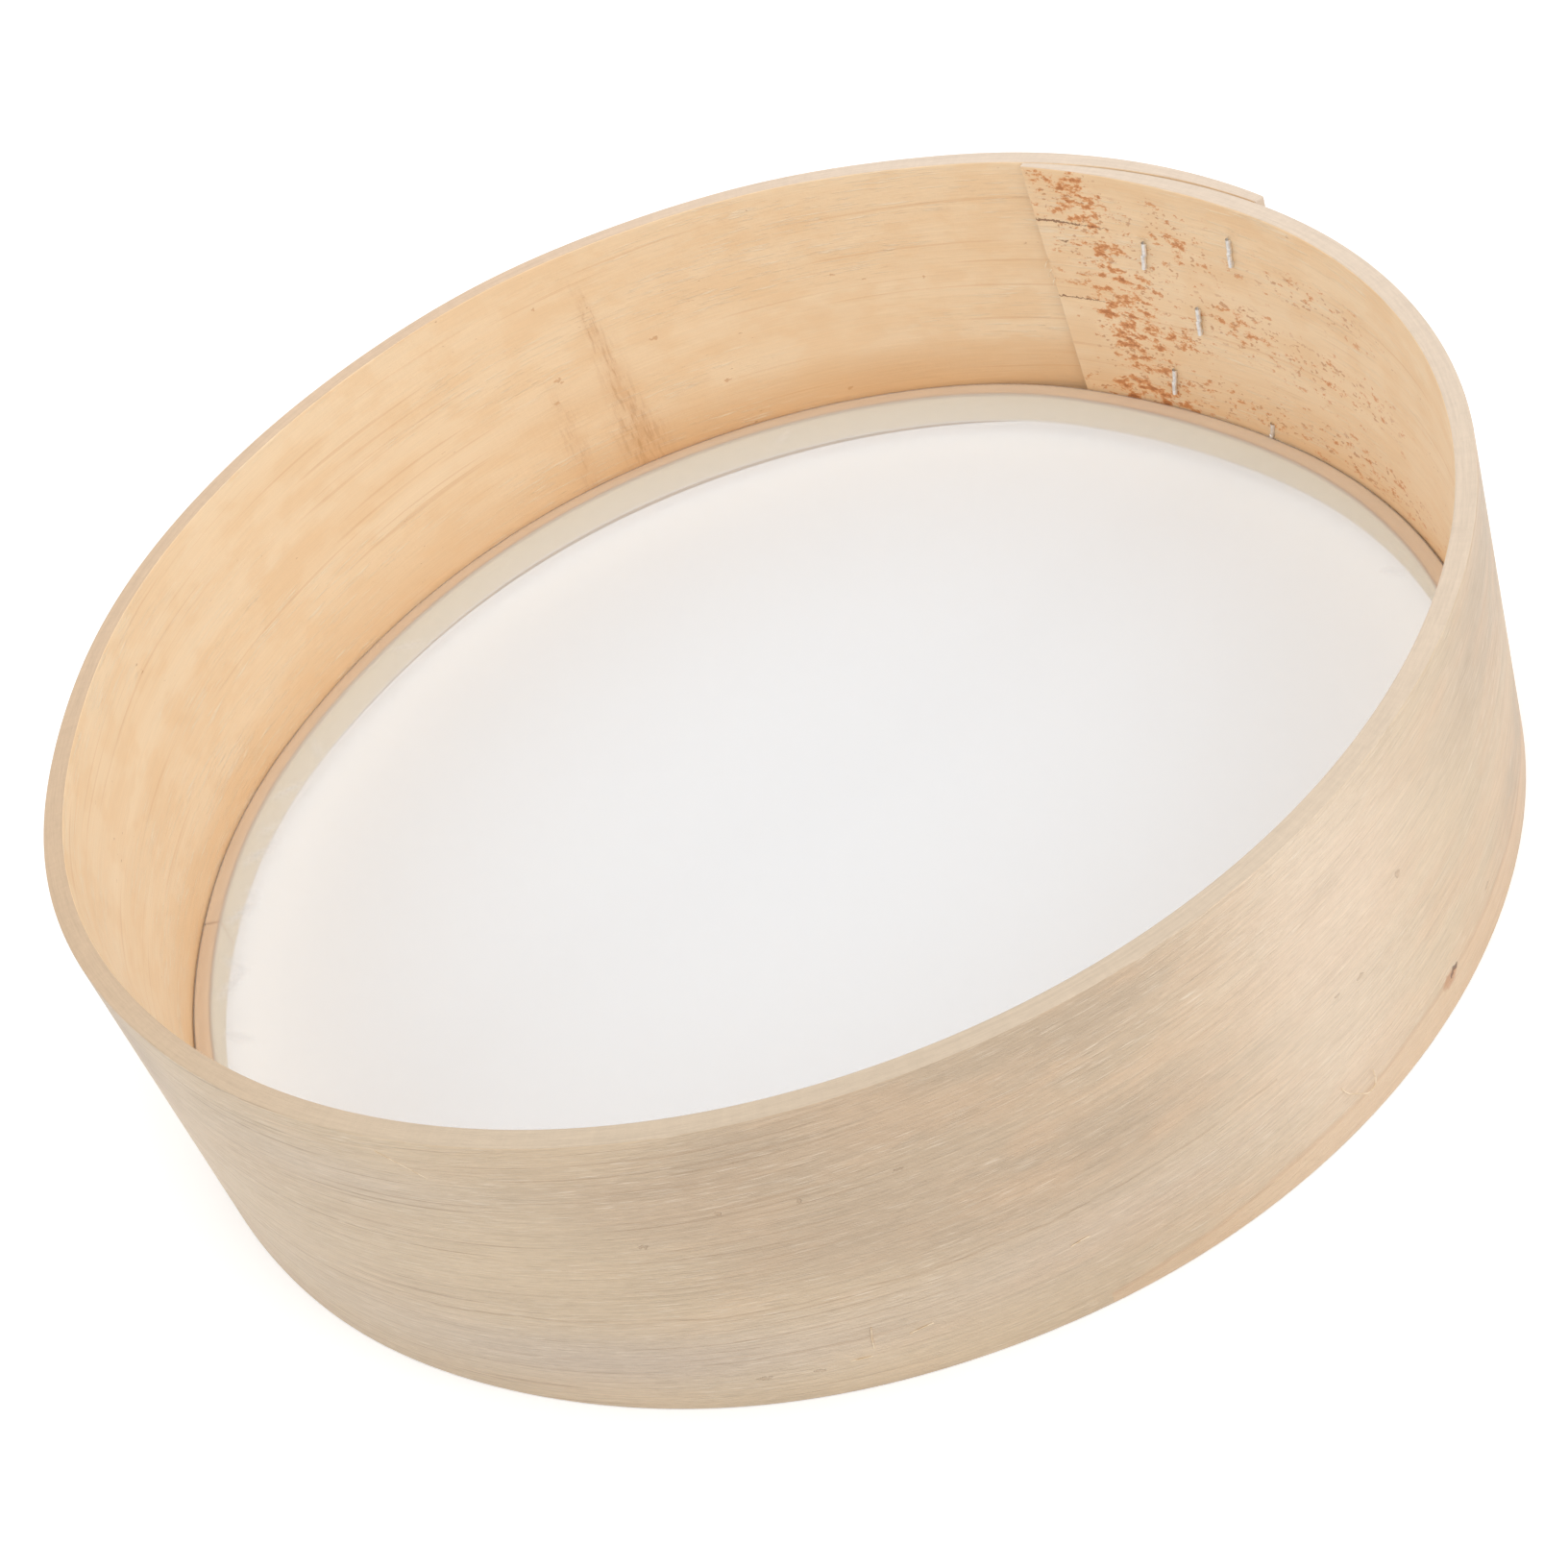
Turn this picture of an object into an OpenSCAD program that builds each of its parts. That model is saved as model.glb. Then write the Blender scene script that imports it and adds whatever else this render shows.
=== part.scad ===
// Tamis drum sieve: a lapped and stapled hoop of bent wood, a low hoop sprung into its foot,
// and fine nylon cloth that is stretched over the low hoop and pinched between the two.
// Millimetres. The origin is at the centre of the foot, on the table, and +Z is up the drum.
// Directions are in degrees, anticlockwise from +X, seen from above.

/* [Drum hoop] */
// Outer diameter of the drum
drum_d = 300; // [200:1:400]
// Height of the drum
drum_h = 77; // [60:1:120]
// Thickness of the bent strip
strip_t = 4.3; // [3.5:0.1:6]

/* [Lap of the drum hoop] */
// Angle from +X to the lap's outer end, in degrees
lap_angle = 44; // [40:1:50]
// Angle over which the strip lies over itself, in degrees
overlap_angle = 25; // [20:1:28]
// Angle over which the strip eases inwards ahead of the lap, in degrees
ease_angle = 41; // [34:1:44]
// Thickness of the shaved outer end
outer_tip_t = 2.5; // [1.8:0.1:3]
// Thickness of the shaved inner end
inner_tip_t = 1.5; // [1:0.1:2.5]
// Gap between the two layers of the lap
lap_gap = 0.2; // [0.1:0.05:0.4]

/* [Clamping hoop] */
// Height of the low hoop's top, which carries the cloth
clamp_top = 12.7; // [10:0.1:20]
// Height of the low hoop's underside above the drum's foot
clamp_foot = 4; // [0:0.5:5]
// Thickness of the low hoop
clamp_t = 4; // [2.5:0.1:5]
// Angle from +X to the butt joint between the low hoop's ends, in degrees
butt_angle = 188; // [120:1:300]
// Gap between the low hoop's ends
butt_gap = 0.4; // [0.2:0.1:1]

/* [Cloth] */
// Thickness of the cloth
cloth_t = 0.3; // [0.2:0.05:0.5]
// Width of the cloth's margin, turned down between the hoops
margin_w = 8; // [5:0.5:8.5]
// Gap between the cloth's margin and each hoop
seat_gap = 0.1; // [0.05:0.05:0.2]

/* [Staples] */
// Diameter of the staple wire
wire_d = 1.2; // [0.8:0.1:1.4]
// Length of a staple's crown, between the centres of its legs
crown_w = 9.4; // [8:0.1:12]
// Gap between the tips of a staple's clinched legs
tip_gap = 0.4; // [0.2:0.1:1]
// Angle at which the clinched legs lean, so that their tips lie side by side, in degrees
clinch_angle = 3; // [0:0.5:5]
// Clearance round the wire in the wood
wire_gap = 0.08; // [0.04:0.02:0.12]
// Height of the lowest staple's middle over the low hoop
low_staple_up = 0.8; // [0:0.1:2]

/* [Hidden] */
$fn = 96;

drum_r = drum_d / 2;
bore_r = drum_r - strip_t;
full_turn = 360;
lap_from = lap_angle;
lap_to = lap_angle + overlap_angle;
ease_from = lap_angle - ease_angle;

// Extra reach of a shape past what it cuts or joins, in millimetres or degrees
past = 1;
// Radius of the shapes that cut sectors out of the plan, well outside the drum
sector_r = 2 * drum_r;
// Largest step between the corners of such a sector
sector_step = 60;
// Radius of the disc that fills the middle of the drum's inside, as a share of its bore
core_share = 0.8;

// Unit vector in direction a
function dir(a) = [cos(a), sin(a)];
// Direction of point p as seen from point c
function bearing(c, p) = atan2(p.y - c.y, p.x - c.x);
// Radius of the arc that leaves point p square to direction a and passes through point q
function arc_radius(p, a, q) = -((q - p) * (q - p)) / (2 * ((q - p) * dir(a)));
// Distance from the origin, in direction a, to the circle of centre c and radius r
function reach(a, c, r) = dir(a) * c + sqrt(pow(dir(a) * c, 2) - c * c + r * r);

// The strip's outer face leaves the drum's circle at ease_from on an ease arc, which meets the
// lap's outer end. The lap arc goes on from there to the inner end, between the two layers.
ease_start = drum_r * dir(ease_from);
ease_end = (drum_r - outer_tip_t - lap_gap) * dir(lap_from);
ease_r = arc_radius(ease_start, ease_from, ease_end);
ease_c = ease_start - ease_r * dir(ease_from);
ease_a = bearing(ease_c, ease_end);
lap_end = (bore_r - lap_gap) * dir(lap_to);
lap_r = arc_radius(ease_end, ease_a, lap_end);
lap_c = ease_end - lap_r * dir(ease_a);

// The inner layer is shaved on its inner face, along one flat arc, down to its tip.
shave_start = ease_c + (ease_r - strip_t) * dir(ease_a);
shave_end = lap_end - inner_tip_t * dir(lap_to);
shave_r = arc_radius(shave_start, ease_a, shave_end);
shave_c = shave_start - shave_r * dir(ease_a);
shave_a = bearing(shave_c, shave_end);

// Past the inner tip, the cloth and the low hoop swing back to the drum's bore on one arc.
back_r = (bore_r * bore_r - shave_end * shave_end) / (2 * (bore_r - shave_end * dir(shave_a)));
back_c = shave_end - back_r * dir(shave_a);
back_a = bearing([0, 0], back_c);

cloth_z = clamp_top;
// Depth of the low hoop's outer face inside the drum's bore
clamp_in = cloth_t + 2 * seat_gap;

// Each staple: its place along the lap, as a share from the outer end, the height of its middle, and
// the angle by which its top leans towards the outer end, in degrees
staple_places = [
    [0.54, 0.74 * drum_h, 13],
    [0.10, 0.84 * drum_h, 7],
    [0.33, 0.54 * drum_h, 8],
    [0.54, 0.27 * drum_h, 13]
];
low_staple_place = [0.09, clamp_top + low_staple_up, 16];

// A sector from direction a to direction b, with its corner at point c
module sector(a, b, c = [0, 0]) {
    steps = ceil((b - a) / sector_step);
    rim = [for (i = [0:steps]) c + sector_r * dir(a + (b - a) * i / steps)];
    polygon(concat([c], rim));
}

// A disc of radius r round point c
module disc(r, c = [0, 0]) {
    translate(c) circle(r);
}

// A pie of radius r round point c, from direction a to direction b
module pie(r, c, a, b) {
    intersection() {
        disc(r, c);
        sector(a, b, c);
    }
}

// The strip past the lap's outer end, round to where it starts to ease inwards
module plain_turn() {
    difference() {
        intersection() {
            difference() {
                disc(drum_r);
                disc(bore_r);
            }
            sector(lap_from, full_turn + ease_from);
        }
        intersection() {
            disc(lap_r + lap_gap, lap_c);
            sector(lap_from - past, lap_to);
        }
    }
}

// The stretch that eases inwards, under the lap's outer end
module eased_turn() {
    intersection() {
        difference() {
            disc(ease_r, ease_c);
            disc(ease_r - strip_t, ease_c);
        }
        sector(ease_from, ease_a, ease_c);
    }
}

// The shaved inner layer of the lap
module inner_layer() {
    intersection() {
        difference() {
            disc(lap_r, lap_c);
            disc(shave_r, shave_c);
        }
        sector(ease_a, ease_a + sector_step, ease_c);
        sector(lap_to - sector_step, lap_to);
    }
}

// The plan of the drum's inside, drawn in by depth all round. The two tighter arcs lie within
// their neighbours, so their pies reach a little past where the arcs meet.
module inside(depth) {
    pie(bore_r - depth, [0, 0], back_a, full_turn + ease_from);
    pie(ease_r - strip_t - depth, ease_c, ease_from - past, ease_a + past);
    pie(shave_r - depth, shave_c, ease_a, shave_a);
    pie(back_r - depth, back_c, shave_a - past, back_a + past);
    disc(core_share * bore_r);
}

// A band of thickness t inside the drum, its outer face at that depth from the bore
module band(depth, t) {
    difference() {
        inside(depth);
        inside(depth + t);
    }
}

// Radius of the drum's inner face at a place along the lap
function wall_in(place) = reach(lap_from + place[0] * overlap_angle, shave_c, shave_r);
// Radius at which a clinched leg lies on the inner face, and the lowest staple's, sunk in it
function clinch_on(place) = wall_in(place) - wire_d / 2 - wire_gap;
function clinch_in(place) = wall_in(place) + wire_d / 2 + wire_gap;

// A round wire of length l along +X, with a rounded start
module wire(l) {
    sphere(d = wire_d);
    rotate([0, 90, 0]) cylinder(d = wire_d, h = l);
}

// Sets its children at a staple's place, with +X pointing out of the drum
module at_place(place) {
    rotate([0, 0, lap_from + place[0] * overlap_angle])
        translate([0, 0, place[1]]) rotate([place[2], 0, 0]) children();
}

// Half of a staple: half its crown, one leg through the wood and the clinched tip
module half_staple(clinch_r) {
    crown_r = drum_r + wire_d / 2 + wire_gap;
    translate([crown_r, 0, crown_w / 2]) rotate([0, 90, 0]) wire(crown_w / 2);
    translate([clinch_r, 0, crown_w / 2]) {
        wire(crown_r - clinch_r);
        rotate([-clinch_angle, 0, 0]) rotate([0, 90, 0]) wire((crown_w - tip_gap) / 2);
    }
}

module staple(place, clinch_r) {
    at_place(place) {
        half_staple(clinch_r);
        rotate([180, 0, 0]) half_staple(clinch_r);
    }
}

// The two holes of one staple, through both layers of the lap
module leg_holes(place) {
    hole_d = wire_d + 2 * wire_gap;
    at_place(place)
        for (side = [-1, 1])
            translate([wall_in(place) - past, 0, side * crown_w / 2])
                rotate([0, 90, 0]) cylinder(d = hole_d, h = strip_t * 2 + 2 * past);
}

// The dent in which the lowest staple's legs lie, behind the margin of the cloth
module dent() {
    side = wire_d + crown_w * sin(clinch_angle) + 2 * wire_gap;
    tall = crown_w + wire_d + 2 * wire_gap;
    deep = wire_d + 2 * wire_gap;
    at_place(low_staple_place)
        translate([wall_in(low_staple_place) - past, -side / 2, -tall / 2])
            cube([deep + past, side, tall]);
}

module drum_hoop() {
    color("burlywood")
        difference() {
            linear_extrude(drum_h) {
                plain_turn();
                eased_turn();
                inner_layer();
            }
            for (place = concat(staple_places, [low_staple_place])) leg_holes(place);
            dent();
        }
}

module clamping_hoop() {
    color("tan")
        translate([0, 0, clamp_foot]) linear_extrude(clamp_top - clamp_foot)
            difference() {
                band(clamp_in, clamp_t);
                rotate([0, 0, butt_angle]) translate([0, -butt_gap / 2]) square([sector_r, butt_gap]);
            }
}

module mesh_screen() {
    color("whitesmoke")
        translate([0, 0, cloth_z]) linear_extrude(cloth_t) inside(seat_gap);
}

module mesh_margin() {
    color("white")
        translate([0, 0, cloth_z - margin_w]) linear_extrude(margin_w) band(seat_gap, cloth_t);
}

module lap_staples() {
    color("silver") {
        for (place = staple_places) staple(place, clinch_on(place));
        staple(low_staple_place, clinch_in(low_staple_place));
    }
}

drum_hoop();
clamping_hoop();
mesh_screen();
mesh_margin();
lap_staples();
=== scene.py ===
# %% [markdown]
# # A tamis: a drum sieve of bent wood and fine cloth
# A tamis is a low drum. One long strip of raw poplar is bent into a hoop, its two shaved ends lie
# over each other, and five wire staples hold them. Nylon cloth covers the foot of the drum. A lower
# hoop is pressed into the foot from below and pins the cloth's margin against the drum's wall.
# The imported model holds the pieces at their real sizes. This script dresses them: it makes each
# piece again with the detail of the real one, in the same place, and gives it a finish.

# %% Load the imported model
from math import atan2, cos, degrees as in_degrees, exp, pi, radians, sin, sqrt

import bmesh
import bpy
from mathutils import Matrix, Vector
from mathutils.geometry import intersect_point_line


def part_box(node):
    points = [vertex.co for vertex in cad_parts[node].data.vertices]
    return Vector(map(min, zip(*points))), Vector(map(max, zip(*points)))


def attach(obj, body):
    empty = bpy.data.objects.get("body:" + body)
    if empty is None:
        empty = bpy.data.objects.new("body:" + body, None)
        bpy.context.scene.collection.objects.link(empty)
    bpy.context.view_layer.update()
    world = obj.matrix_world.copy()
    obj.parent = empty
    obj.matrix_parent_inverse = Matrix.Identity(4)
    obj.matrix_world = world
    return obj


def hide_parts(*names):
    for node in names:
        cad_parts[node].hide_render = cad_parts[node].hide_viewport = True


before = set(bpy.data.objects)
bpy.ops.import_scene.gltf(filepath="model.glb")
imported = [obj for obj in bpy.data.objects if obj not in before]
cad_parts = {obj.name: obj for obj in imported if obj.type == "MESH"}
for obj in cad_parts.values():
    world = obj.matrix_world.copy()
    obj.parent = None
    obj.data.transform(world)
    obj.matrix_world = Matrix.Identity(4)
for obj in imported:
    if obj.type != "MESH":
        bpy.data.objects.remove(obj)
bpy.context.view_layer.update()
print("CAD nodes:", ", ".join(sorted(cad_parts)))

# %% [markdown]
# ## Sizes
# Everything here is in metres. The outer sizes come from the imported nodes' own boxes, so that the
# dressed pieces fit them. Only what a box can't tell, such as the thickness of the strip and how its
# two ends are shaved, is written down again.

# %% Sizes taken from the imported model
mm = 0.001
hoop_low, hoop_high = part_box("drum_hoop")
clamp_low, clamp_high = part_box("clamping_hoop")
drum_r = -hoop_low[0]
drum_h = hoop_high[2]
clamp_foot = clamp_low[2]
clamp_top = clamp_high[2]
cloth_z = (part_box("mesh_screen")[0][2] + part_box("mesh_screen")[1][2]) / 2
margin_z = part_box("mesh_margin")[0][2]
print(f"drum {2000 * drum_r:.0f} mm across and {1000 * drum_h:.0f} mm high")
print(f"low hoop from {1000 * clamp_foot:.1f} to {1000 * clamp_top:.1f} mm above the table")

# %% Sizes of the strip and of its lap
strip_t = 4.3 * mm
bore_r = drum_r - strip_t
lap_from = 44
lap_to = 69
ease_from = 3
outer_tip_t = 2.5 * mm
inner_tip_t = 1.5 * mm
lap_gap = 0.2 * mm
clamp_t = 4 * mm
clamp_in = 0.5 * mm
butt_at = 188
butt_gap = 0.4 * mm
print(f"strip {1000 * strip_t:.1f} mm thick, lapped from {lap_from} to {lap_to} degrees")

# %% [markdown]
# ## The path of the strip, seen from above
# Bent wood has no corners: the strip runs round a circle, eases inwards along a slightly tighter arc,
# slides under its own outer end and stops. Four arcs that meet without a kink describe that. The
# first follows from the drum's radius. Each of the others leaves the end of the one before it in the
# same direction and ends at one more known point, which leaves only its radius to work out.

# %% Arcs that meet without a kink
def toward(degrees):
    """The unit vector that points in a direction, anticlockwise from +X."""
    return Vector((cos(radians(degrees)), sin(radians(degrees))))


def bearing(centre, point):
    """The direction of a point as seen from a centre, in degrees."""
    return in_degrees(atan2(point.y - centre.y, point.x - centre.x))


def next_arc(start, degrees, stop):
    """The arc from start, square to a direction, to stop: its centre, its radius and where it ends."""
    chord = stop - start
    radius = -chord.dot(chord) / (2 * chord.dot(toward(degrees)))
    centre = start - radius * toward(degrees)
    return centre, radius, bearing(centre, stop)


axis = Vector((0, 0))


def reach(heading, centre, radius, start=axis, side=1):
    """How far it is in a direction to the far side of a circle, or to its near one with side -1."""
    offset = centre - start
    ahead = offset.dot(heading)
    return ahead + side * sqrt(ahead**2 - offset.dot(offset) + radius**2)


ease_start = drum_r * toward(ease_from)
ease_end = (drum_r - outer_tip_t - lap_gap) * toward(lap_from)
ease_c, ease_r, ease_a = next_arc(ease_start, ease_from, ease_end)
lap_end = (bore_r - lap_gap) * toward(lap_to)
lap_c, lap_r, lap_a = next_arc(ease_end, ease_a, lap_end)
print(f"ease arc {1000 * ease_r:.1f} mm, lap arc {1000 * lap_r:.1f} mm")

# %% The shaved inner face, and the inside of the drum
shave_start = ease_c + (ease_r - strip_t) * toward(ease_a)
shave_end = lap_end - inner_tip_t * toward(lap_to)
shave_c, shave_r, shave_a = next_arc(shave_start, ease_a, shave_end)
back_r = (bore_r**2 - shave_end.dot(shave_end)) / (2 * (bore_r - shave_end.dot(toward(shave_a))))
back_c = shave_end - back_r * toward(shave_a)
back_a = bearing(axis, back_c)


def inner_wall(degrees):
    """The distance from the drum's axis to its inner face, which the cloth and the low hoop follow."""
    around = (degrees - ease_from) % 360 + ease_from
    if around < bearing(axis, shave_start):
        return reach(toward(around), ease_c, ease_r - strip_t)
    if around < lap_to:
        return reach(toward(around), shave_c, shave_r)
    if around < back_a:
        return reach(toward(around), back_c, back_r)
    return bore_r


def near_wall(place):
    """0 on the drum's axis, rising to 1 in the outer tenth of its bore."""
    return min(1, place.length / (0.9 * bore_r))


for degrees in (20, 44, 56, 69, 75, 180):
    print(f"inner face at {degrees} degrees: {1000 * inner_wall(degrees):.2f} mm")

# %% [markdown]
# ## Helpers for modelling
# Blender's operators act on whatever is selected, and loading the model leaves its nodes selected.
# So each helper starts from an empty selection, and faces or edges are chosen by a test on their
# place or direction, which does in code what a hand does with the mouse.

# %% Selecting
def start_afresh():
    """Leaves nothing selected, in object mode."""
    if bpy.context.object and bpy.context.object.mode != "OBJECT":
        bpy.ops.object.mode_set(mode="OBJECT")
    bpy.ops.object.select_all(action="DESELECT")


def only(piece):
    """Makes the piece the active object and the only one that is selected."""
    start_afresh()
    piece.select_set(True)
    bpy.context.view_layer.objects.active = piece


def select(kind, test):
    """In edit mode, selects the verts, edges or faces that pass the test, and no others."""
    bpy.ops.mesh.select_all(action="DESELECT")
    bpy.ops.mesh.select_mode(type=kind[:-1].upper())
    shape = bmesh.from_edit_mesh(bpy.context.object.data)
    for element in getattr(shape, kind):
        if test(element):
            element.select_set(True)
    bmesh.update_edit_mesh(bpy.context.object.data)


def divide(number, shortest, cuts):
    """Cuts across all edges longer than shortest that are parallel to X, Y or Z: 0, 1 or 2."""
    def runs_along(edge):
        step = edge.verts[1].co - edge.verts[0].co
        return abs(step[number]) > max(0.999 * step.length, shortest)
    select("edges", runs_along)
    bpy.ops.mesh.subdivide(number_cuts=cuts)


# %% Starting and finishing a piece
def put_in_scene(name, data):
    """Makes an object of the data and puts it in the scene."""
    made = bpy.data.objects.new(name, data)
    bpy.context.collection.objects.link(made)
    return made


def edit_all():
    """Goes into edit mode with the whole piece selected."""
    bpy.ops.object.mode_set(mode="EDIT")
    bpy.ops.mesh.select_all(action="SELECT")


def begin(name):
    """Names the piece that was just added, writes its place and size into it and starts to edit."""
    piece = bpy.context.object
    piece.name = piece.data.name = name
    bpy.ops.object.transform_apply(location=True, rotation=True, scale=True)
    edit_all()
    return piece


def face_outwards():
    """Turns all faces outwards and goes back to object mode."""
    bpy.ops.mesh.select_all(action="SELECT")
    bpy.ops.mesh.normals_make_consistent(inside=False)
    bpy.ops.object.mode_set(mode="OBJECT")


def join_to(piece, others):
    """Makes the others part of the piece."""
    only(piece)
    for other in others:
        other.select_set(True)
    bpy.ops.object.join()


def triangles(piece):
    """Counts the triangles that the piece comes to."""
    return sum(len(face.vertices) - 2 for face in piece.data.polygons)


def note_points(piece, name, values):
    """Writes a number or a place for each point of the piece, which its finish reads by that name."""
    places = isinstance(values[0], Vector)
    note = piece.data.attributes.new(name, "FLOAT_VECTOR" if places else "FLOAT", "POINT")
    flat = [number for place in values for number in place] if places else values
    note.data.foreach_set("vector" if places else "value", flat)


def stand_for(piece, node, slot, *more_nodes):
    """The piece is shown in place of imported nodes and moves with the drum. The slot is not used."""
    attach(piece, "root")
    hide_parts(node, *more_nodes)


# %% [markdown]
# ## The camera
# The photograph was taken from above the front of the drum with a normal lens, and the camera was
# turned on its own axis, so that the drum seems to tip to the right. The place and the turn below
# were worked out from the two ellipses of the rim and the foot.

# %% Camera
camera_place = Vector((0.17732, -0.44329, 0.42073))
camera_right = Vector((0.94962, 0.13399, -0.28330))
camera_up = Vector((0.11377, 0.69493, 0.71002))
camera_back = camera_right.cross(camera_up)

camera = put_in_scene("camera", bpy.data.cameras.new("camera"))
camera.data.lens = 66.055
camera.data.sensor_width = 36
turned = Matrix((camera_right, camera_up, camera_back)).transposed().to_4x4()
camera.matrix_world = Matrix.Translation(camera_place) @ turned
bpy.context.scene.camera = camera
print(f"camera {1000 * camera_place.length:.0f} mm from the middle of the foot")

# %% [markdown]
# ## The strip, flat
# A hoop could be spun from its section, but then its wood would have no ends and no grain of its own.
# The maker starts with a flat board, so this does too: a box of the board's size, with its edges
# eased, is cut into a fine grid that can bend later. X runs along the board, Y from its outer face
# to its inner one and Z up. The inner end was cut a little out of square, so the top corner there is
# drawn out past the lower one.

# %% Lengths along the strip
turn_l = drum_r * radians(360 + ease_from - lap_from)
ease_l = ease_r * radians(ease_a - ease_from)
lap_l = lap_r * radians(lap_a - ease_a)
board_l = turn_l + ease_l + lap_l
print(f"the strip is {1000 * board_l:.0f} mm long, of which {1000 * lap_l:.0f} mm lie in the lap")

# %% Cut the board
def cut_board(name, length, thickness, foot, height, rounding, cuts_along, cuts_up, cuts_deep, slant=0):
    """A flat board with eased edges and a fine grid, its outer face on the XZ plane."""
    start_afresh()
    middle = (length / 2, thickness / 2, foot + height / 2)
    bpy.ops.mesh.primitive_cube_add(size=1, location=middle, scale=(length, thickness, height))
    piece = begin(name)
    select("verts", lambda vertex: vertex.co.x > length / 2 and vertex.co.z > foot + height / 2)
    bpy.ops.transform.translate(value=(slant, 0, 0))
    bpy.ops.mesh.select_all(action="SELECT")
    bpy.ops.mesh.bevel(offset=rounding, segments=2, affect="EDGES")
    for cuts in cuts_along:
        divide(0, 5 * rounding, cuts)
    divide(2, height / 2, cuts_up)
    divide(1, thickness / 4, cuts_deep)
    bpy.ops.object.mode_set(mode="OBJECT")
    return piece


end_cut = 1.5 * mm
end_slant = 2.5 * mm
worn_edge = 0.35 * mm
strip = cut_board(
    "bent_hoop", board_l - end_cut, strip_t, 0, drum_h, worn_edge, (99, 5), 44, 2, slant=end_slant
)
print(f"the board has {triangles(strip)} triangles")

# %% [markdown]
# ## Shaving the ends
# Where the strip lies over itself, two full thicknesses would leave a step that the cloth couldn't
# follow. So the maker shaves the inner face of the outer end, and the inner face of the inner end,
# into long tapers. Here the depth of every point is scaled by how thick the wood still is there. The
# two layers touch at the ends of the lap and stand a little apart in its middle.

# %% How thick the strip is
lap_opening = 0.3 * mm


def thickness_at(along):
    """The thickness of the strip at a distance from its outer end."""
    lap_share = along / (drum_r * radians(lap_to - lap_from))
    if lap_share < 1:
        out = toward(lap_from + lap_share * (lap_to - lap_from))
        full = reach(-out, lap_c, lap_r + lap_gap, drum_r * out, -1)
        return full - lap_opening * sin(pi * lap_share)
    if along < turn_l + ease_l:
        return strip_t
    out = toward(ease_a + in_degrees((along - turn_l - ease_l) / lap_r))
    return reach(-out, shave_c, shave_r, lap_c + lap_r * out, -1)


for along in (0, 0.03, 0.5, board_l - 0.03, board_l):
    print(f"{1000 * along:4.0f} mm along the strip it is {1000 * thickness_at(along):.2f} mm thick")

# %% Tell the faces apart
strip.data.materials.clear()
for name in ("edge", "outer", "inner"):
    strip.data.materials.append(bpy.data.materials.new(name))
for face in strip.data.polygons:
    if face.normal.y < -0.9:
        face.material_index = 1
    elif face.normal.y > 0.9:
        face.material_index = 2
sides = [face.material_index for face in strip.data.polygons]
print(f"{sides.count(1)} outer faces, {sides.count(2)} inner ones and {sides.count(0)} on the edges")

# %% Shave the ends
for vertex in strip.data.vertices:
    vertex.co.y *= thickness_at(vertex.co.x) / strip_t
flat_points = [vertex.co.copy() for vertex in strip.data.vertices]
note_points(strip, "board", flat_points)
print(f"{len(flat_points)} points have noted their place on the board")

# %% [markdown]
# ## Marks that have their place
# Most of the wood's pattern can be left to noise, but some marks sit in one spot. Brown flecks gather
# round the lap, a stain crosses the inner face, and the outer face has warmer patches, a long seam in
# its grain and a strip of heartwood along its foot. Some spots stand for light instead: a painted
# highlight on the outer face, and painted shade low on the far inner wall and at the outer face's
# lower right end. While the board is flat, its points note how strongly each of these is felt there.
# The finishes read the notes and break them up into detail.

# %% Soft spots
def soft_spots(point, spots):
    """How strongly soft spots are felt at a point, from 0 to 1. A spot is given in millimetres."""
    felt = 0
    for along, height, half_l, half_h, strength in spots:
        off = ((1000 * point.x - along) / half_l) ** 2 + ((1000 * point.z - height) / half_h) ** 2
        felt += strength * exp(-off)
    return min(1, felt)


def along_to(degrees):
    """How far along the board its outer layer reaches a direction, in millimetres."""
    return 1000 * drum_r * radians((degrees - lap_from) % 360)


def placed(rows):
    """Rows that start with a direction, with the distance along the board in its place."""
    return [(along_to(degrees), *sizes) for degrees, *sizes in rows]


far_off = 99


def height_over(point, line):
    """How far a point lies over a line, given by its heights at some directions, in millimetres."""
    along = 1000 * point.x
    for (start, low), (stop, high) in zip(line, line[1:]):
        if along_to(start) <= along <= along_to(stop):
            share = (along - along_to(start)) / (along_to(stop) - along_to(start))
            return 1000 * point.z - low - share * (high - low)
    return far_off


# %% Flecks on the lap's inner layer
# Each row is a patch: its distance from the inner end, its height, half its length, half its height
# and how thickly the flecks stand in it.
fleck_patches = [
    (7, 74, 8, 2.2, 1.5), (10, 68, 9, 4, 1.1), (12, 62, 8, 2, 0.8), (14, 56, 10, 2.5, 0.7),
    (18, 49, 11, 5, 0.95), (17, 38, 9, 6, 1.4), (30, 34, 9, 4, 1.0), (19, 27, 9, 5, 1.2),
    (19, 15, 12, 4.5, 1.5), (36, 62, 12, 9, 0.5), (52, 44, 13, 6, 0.55), (44, 20, 14, 5, 0.35),
    (80, 60, 26, 5, 0.35), (85, 40, 30, 7, 0.4), (90, 20, 40, 6, 0.45),
]
inner_end = 1000 * (board_l - end_cut)
from_end = [(inner_end - back, *sizes) for back, *sizes in fleck_patches]
note_points(strip, "flecks", [soft_spots(point, from_end) for point in flat_points])
print(f"{len(fleck_patches)} patches of flecks")
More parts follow.
